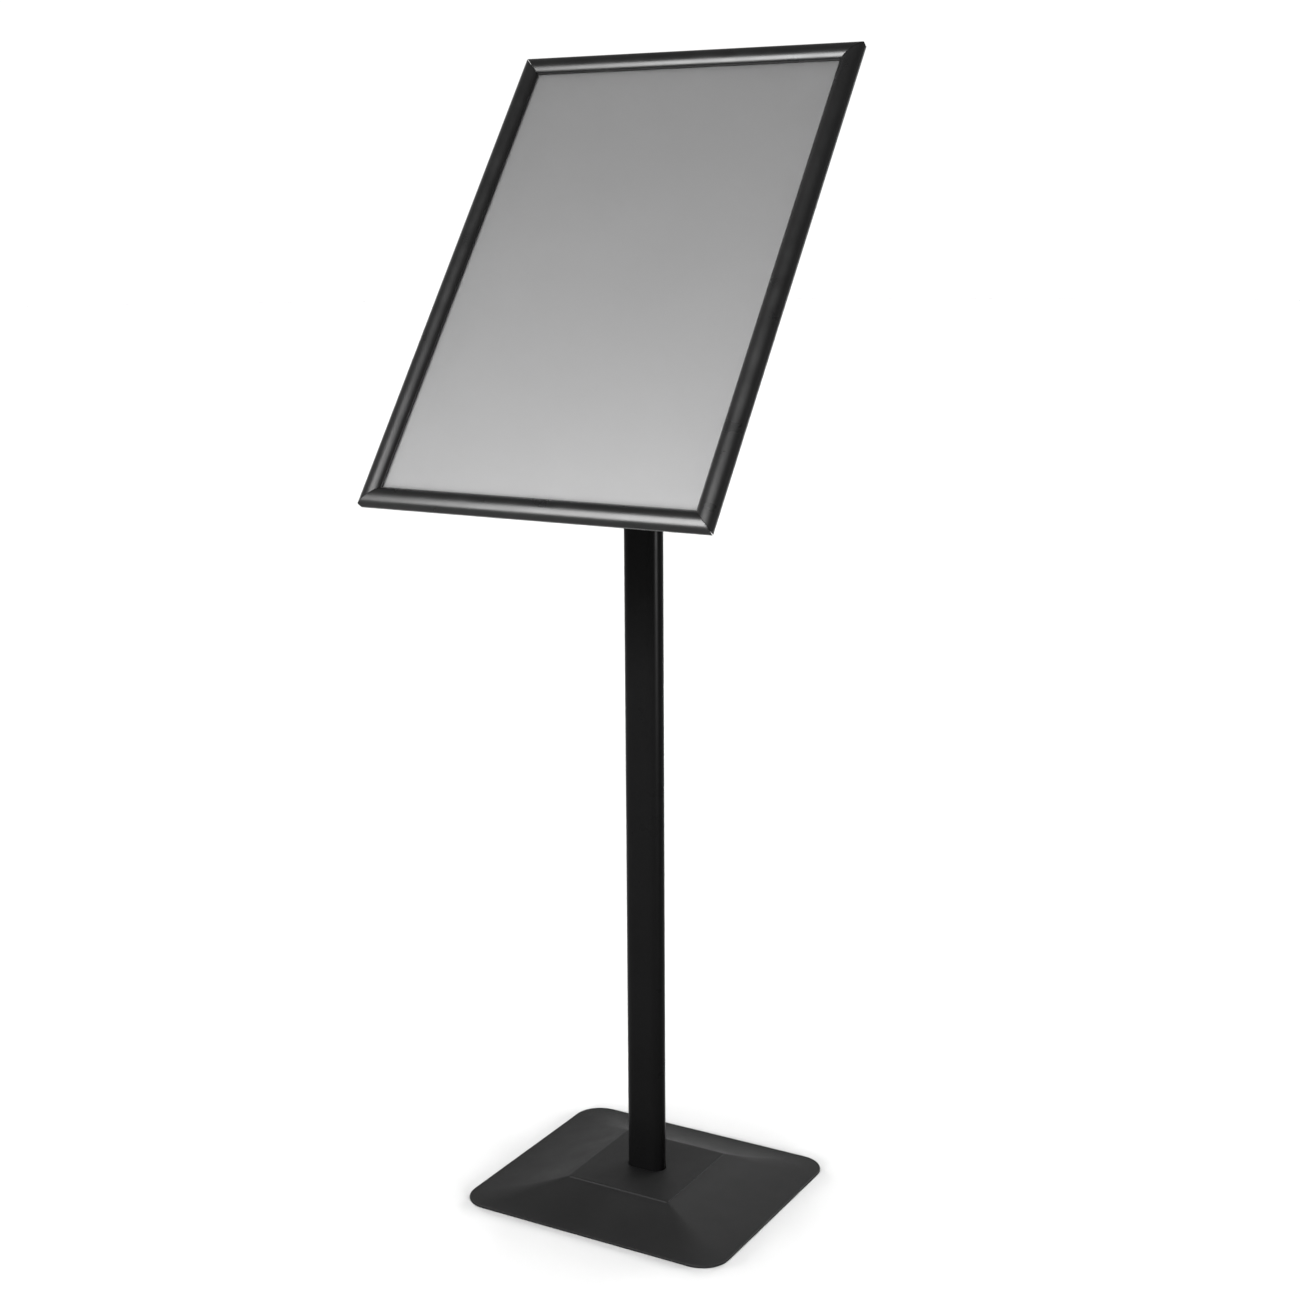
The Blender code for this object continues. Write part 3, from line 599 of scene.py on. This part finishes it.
def cover_section():
    hinge = (HINGE_S, HINGE_N)
    web_to = WEB_S + COVER_THICKNESS
    neck = math.asin(NECK_HALF / BEAD_RADIUS)
    bead = arc(hinge, BEAD_RADIUS, neck, 2 * math.pi - neck, steps=26)
    outer_lip = OUTER_LIP_S + COVER_THICKNESS
    nick = COVER_NICK
    top = crown_points(OUTER_LIP_S, CROWN_END_S, 0.0, steps=44)
    under_flange = crown_points(CROWN_END_S - COVER_THICKNESS, web_to, COVER_THICKNESS, steps=20)
    under_lip = crown_points(WEB_S, outer_lip, COVER_THICKNESS, steps=10)
    return (
        top
        + [(CROWN_END_S + GAP, FLANGE_TOP_N), (BAR_WIDTH - nick, FLANGE_TOP_N)]
        + [(BAR_WIDTH, FLANGE_TOP_N - nick), (BAR_WIDTH, FLANGE_BOTTOM_N + nick)]
        + [(BAR_WIDTH - nick, FLANGE_BOTTOM_N), (CROWN_END_S - COVER_THICKNESS, FLANGE_BOTTOM_N)]
        + under_flange
        + [(web_to, HINGE_N - NECK_HALF)]
        + bead[::-1]
        + [(WEB_S, HINGE_N + NECK_HALF)]
        + under_lip
    )


STATIONS = (0.0, 0.00015, 0.0006, 0.004, 0.02)  # in from each mitred end


def long_bar(section, half, setback):
    """The section in (y, z) run along x, with rows close together near both mitred ends."""
    reach = half - MITRE_GAP

    def build(bm):
        rows = []
        for sign, insets in ((-1, STATIONS), (1, STATIONS[::-1])):
            for inset in insets:
                points = [(sign * (reach - setback(y, z) - inset), y, z) for y, z in section]
                rows.append([bm.verts.new(point) for point in points])
        bridge(bm, rows)
        for row in (rows[0], rows[-1]):
            cap = bm.faces.new(row)
            cap.normal_update()
            bmesh.ops.triangulate(bm, faces=[cap])

    return build


# Each side's turn, the middle of its outer edge and half its length.
SIDES = {
    "bottom": (0, (0, -HALF_HEIGHT), HALF_WIDTH),
    "right": (math.pi / 2, (HALF_WIDTH, 0), HALF_HEIGHT),
    "top": (math.pi, (0, HALF_HEIGHT), HALF_WIDTH),
    "left": (-math.pi / 2, (-HALF_WIDTH, 0), HALF_HEIGHT),
}

for side, (turn, middle, half) in SIDES.items():
    edge_middle = Matrix.Translation((middle[0], middle[1] + MIDDLE_Y, BACK_Z))
    place = HEAD @ edge_middle @ Matrix.Rotation(turn, 4, "Z")
    cover_node = f"cover_{side}"  # and the body of the same name
    rail = long_bar(rail_section(), half, rail_setback)
    cover = long_bar(cover_section(), half, cover_setback)
    piece(f"rail_profile_{side}", rail, frame_coat, "head", f"rail_{side}", place)
    piece(f"cover_profile_{side}", cover, frame_coat, cover_node, cover_node, place)

# ---------------------------------------------------------------- panel and clear sheet

SHEET_CORNER = 0.001
SHEET_NICK = 0.0002
SHEET_STEPS = (4, 16)  # along each corner and each side


def slab(size):
    """A sheet about its own middle, with its corners rounded and its edges taken off."""
    nick = SHEET_NICK
    half = size.z / 2
    outline = rounded_rectangle(size.x, size.y, SHEET_CORNER, *SHEET_STEPS)
    small = rounded_rectangle(size.x - 2 * nick, size.y - 2 * nick, SHEET_CORNER - nick, *SHEET_STEPS)
    layers = ((small, -half), (outline, nick - half), (outline, half - nick), (small, half))

    def build(bm):
        rows = [[bm.verts.new(point) for point in ring(layer, z)] for layer, z in layers]
        bridge(bm, rows)
        bm.faces.new(rows[0])
        bm.faces.new(rows[-1])

    return build


def box_in_head(node):
    """The low and high corners of a node in the head's frame."""
    points = [in_head(nodes[node].matrix_world @ v.co) for v in nodes[node].data.vertices]
    low = Vector([min(p[i] for p in points) for i in range(3)])
    high = Vector([max(p[i] for p in points) for i in range(3)])
    return low, high


sheets = []
for name, node, material, slot in (
    ("display_board", "back_panel", board, "panel_grey"),
    ("display_cover_sheet", "front_sheet", film, "clear_film"),
):
    low, high = box_in_head(node)
    place = HEAD @ Matrix.Translation((low + high) / 2)
    sheets.append(piece(name, slab(high - low), material, "head", node, place))

# ---------------------------------------------------------------- carried-over nodes

FINISHES = {
    "ballast_plate": raw_steel,
    "post_foot": raw_steel,
    "tilt_bracket": bracket_coat,
    "post_head": bracket_coat,
    "crossbar_upper": frame_coat,
    "crossbar_lower": frame_coat,
    "friction_washer_left": nylon,
    "friction_washer_right": nylon,
}
SOFTENED = ("tilt_bracket", "post_head", "crossbar_upper", "crossbar_lower", "pivot_nut")
SOFT_EDGE = 0.0005
MERGE = 1e-6
FLAT_ANGLE = math.radians(0.5)
ON_BASE = ("post_head", "pivot_nut")
REDRAWN = ("base_cover", "post", "back_panel", "front_sheet")
REDRAWN_SIDES = ("rail_", "cover_")

for name, node in nodes.items():
    if name in REDRAWN or name.startswith(REDRAWN_SIDES):
        continue
    material = FINISHES.get(name) or (spring_steel if name.startswith("leaf_spring") else zinc)
    if name not in SOFTENED:
        wear(node, material)
        continue

    def build(bm, source=node):
        bm.from_mesh(source.data)
        bm.transform(source.matrix_world)
        bmesh.ops.remove_doubles(bm, verts=bm.verts, dist=MERGE)
        bmesh.ops.dissolve_limit(bm, angle_limit=FLAT_ANGLE, verts=bm.verts, edges=bm.edges)

    body = "base" if name in ON_BASE else "head"
    piece(f"{name}_finished", build, material, body, name, edge=SOFT_EDGE)

# ---------------------------------------------------------------- studio


def only_on(light, receivers, blockers=()):
    """Limits a studio light to some objects, and its shadows to those that some objects cast."""
    for kind, objects in (("receiver", receivers), ("blocker", blockers)):
        if objects:
            group = bpy.data.collections.new(f"{light.name}_{kind}s")
            for obj in objects:
                group.objects.link(obj)
            setattr(light.light_linking, f"{kind}_collection", group)


def add_light(name, data, diffuse=True, glossy=True):
    light = bpy.data.objects.new(name, data)
    light.visible_diffuse = diffuse
    light.visible_glossy = glossy
    bpy.context.scene.collection.objects.link(light)
    return light


def area_light(name, place, target, size, power, glossy):
    """A soft box that gives highlights only, or diffuse light only."""
    data = bpy.data.lights.new(name, "AREA")
    data.shape = "RECTANGLE"
    data.size, data.size_y = size
    data.energy = power
    light = add_light(name, data, diffuse=not glossy, glossy=glossy)
    light.location = place
    light.rotation_euler = (Vector(target) - Vector(place)).to_track_quat("-Z", "Y").to_euler()
    light.visible_camera = False
    return light


def sun_light(name, energy, angle, tilt, lean=0, turn=0):
    """A diffuse light from far away, with its angles in degrees."""
    data = bpy.data.lights.new(name, "SUN")
    data.energy = energy
    data.angle = math.radians(angle)
    sun = add_light(name, data, glossy=False)
    sun.rotation_euler = (math.radians(tilt), math.radians(lean), math.radians(turn))
    return sun


# Highlights along the frame's bars and down the post's edge.
area_light("key", (-0.44, -1.99, 2.14), (0, -0.1, 1.1), (2.0, 1.5), 295, glossy=True)
area_light("side", (1.95, -0.87, 0.58), (0, 0, 0.75), (0.9, 0.4), 52, glossy=True)

# Diffuse light on the foot of the sheets, and on the post below the head's shadow.
low_front = area_light("low_front", (-0.02, -0.95, 0.70), (-0.05, -0.2, 0.95), (1.1, 0.3), 10.8, glossy=False)
front_fill = area_light("front_fill", (-0.30, -1.90, 2.05), (0, 0, 0.6), (1.2, 0.8), 230, glossy=False)
only_on(low_front, sheets)
only_on(front_fill, (post_tube,))

# Highlights on the slopes and edges of the base.
back_right = area_light("back_right", (0.75, 2.40, 1.90), (0.15, 0, 0), (0.7, 0.4), 35, glossy=True)
edge_right = area_light("edge_right", (1.50, 2.40, 1.15), (0.15, 0, 0), (0.5, 0.4), 55, glossy=True)
only_on(back_right, (base_shell,))
only_on(edge_right, (base_shell,))

sun_light("overhead", 2.1, angle=60, tilt=-24, lean=-8)

# The world is bright at the horizon and dim overhead. The camera sees plain white.
HORIZON = 1.0
ZENITH = 0.28
FADE_TO = 0.75
WHITE = 1.05

world = bpy.data.worlds.new("studio")
world.use_nodes = True
bpy.context.scene.world = world
tree = world.node_tree
lighting = tree.nodes["Background"]
direction = tree.nodes.new("ShaderNodeTexCoord")
split = tree.nodes.new("ShaderNodeSeparateXYZ")
fade = tree.nodes.new("ShaderNodeValToRGB")
fade.color_ramp.interpolation = "EASE"
for stop, position, bright in ((0, 0.0, HORIZON), (1, FADE_TO, ZENITH)):
    fade.color_ramp.elements[stop].position = position
    fade.color_ramp.elements[stop].color = (bright, bright, bright, 1)
backdrop = tree.nodes.new("ShaderNodeBackground")
backdrop.inputs["Color"].default_value = (1, 1, 1, 1)
backdrop.inputs["Strength"].default_value = WHITE
light_path = tree.nodes.new("ShaderNodeLightPath")
choose = tree.nodes.new("ShaderNodeMixShader")
for start, end in (
    (direction.outputs["Generated"], split.inputs[0]),
    (split.outputs["Z"], fade.inputs["Fac"]),
    (fade.outputs["Color"], lighting.inputs["Color"]),
    (light_path.outputs["Is Camera Ray"], choose.inputs[0]),
    (lighting.outputs[0], choose.inputs[1]),
    (backdrop.outputs[0], choose.inputs[2]),
    (choose.outputs[0], tree.nodes["World Output"].inputs["Surface"]),
):
    tree.links.new(start, end)

FLOOR_RADIUS = 30
FLOOR_STEPS = 96

floor_paint = Paint("floor", Specular_IOR_Level=0.1, Roughness=0.9)
floor_paint.color(floor_paint.mixed(floor_paint.noise(3.0), (0.297, 0.297, 0.297), (0.303, 0.303, 0.303)))
floor_data = bpy.data.meshes.new("floor")
floor_bm = bmesh.new()
bmesh.ops.create_circle(floor_bm, cap_ends=True, segments=FLOOR_STEPS, radius=FLOOR_RADIUS)
floor_bm.to_mesh(floor_data)
floor_bm.free()
floor = bpy.data.objects.new("floor", floor_data)
floor_data.materials.append(floor_paint.material)
bpy.context.scene.collection.objects.link(floor)

# Low light from all round that reaches the floor only, so the base has a soft shadow at its edge.
LOW_LIGHTS = 6
LOW_ELEVATION = 5.5
LOW_ANGLE = 10.5
LOW_STRENGTH = 15.1

for i in range(LOW_LIGHTS):
    low_tilt = 90 - LOW_ELEVATION
    low_light = sun_light(f"low_{i}", LOW_STRENGTH, LOW_ANGLE, low_tilt, turn=360 * i / LOW_LIGHTS)
    only_on(low_light, (floor,), (base_shell,))

bpy.context.scene.view_settings.view_transform = "Standard"

# ---------------------------------------------------------------- camera
CAMERA_PLACE = (1.1604, -2.0193, 1.1887)
YAW = math.radians(29.713)
PITCH = math.radians(12.08)
ROLL = math.radians(0.301)
FOCAL_SHARE = 1.53323  # of the picture's width
SENSOR = 36
CLIP = (0.05, 100)

level = Vector((math.cos(YAW), math.sin(YAW), 0))
ahead_level = Vector((-math.sin(YAW), math.cos(YAW), 0))
ahead = math.cos(PITCH) * ahead_level + math.sin(PITCH) * Vector((0, 0, -1))
down = math.cos(PITCH) * Vector((0, 0, -1)) - math.sin(PITCH) * ahead_level
right = math.cos(ROLL) * level + math.sin(ROLL) * down
down_rolled = math.cos(ROLL) * down - math.sin(ROLL) * level

camera_data = bpy.data.cameras.new("camera")
camera_data.sensor_width = SENSOR
camera_data.lens = SENSOR * FOCAL_SHARE
camera_data.clip_start, camera_data.clip_end = CLIP
camera = bpy.data.objects.new("camera", camera_data)
turn = Matrix((right, -down_rolled, -ahead)).transposed().to_4x4()
camera.matrix_world = Matrix.Translation(CAMERA_PLACE) @ turn
bpy.context.scene.collection.objects.link(camera)
bpy.context.scene.camera = camera
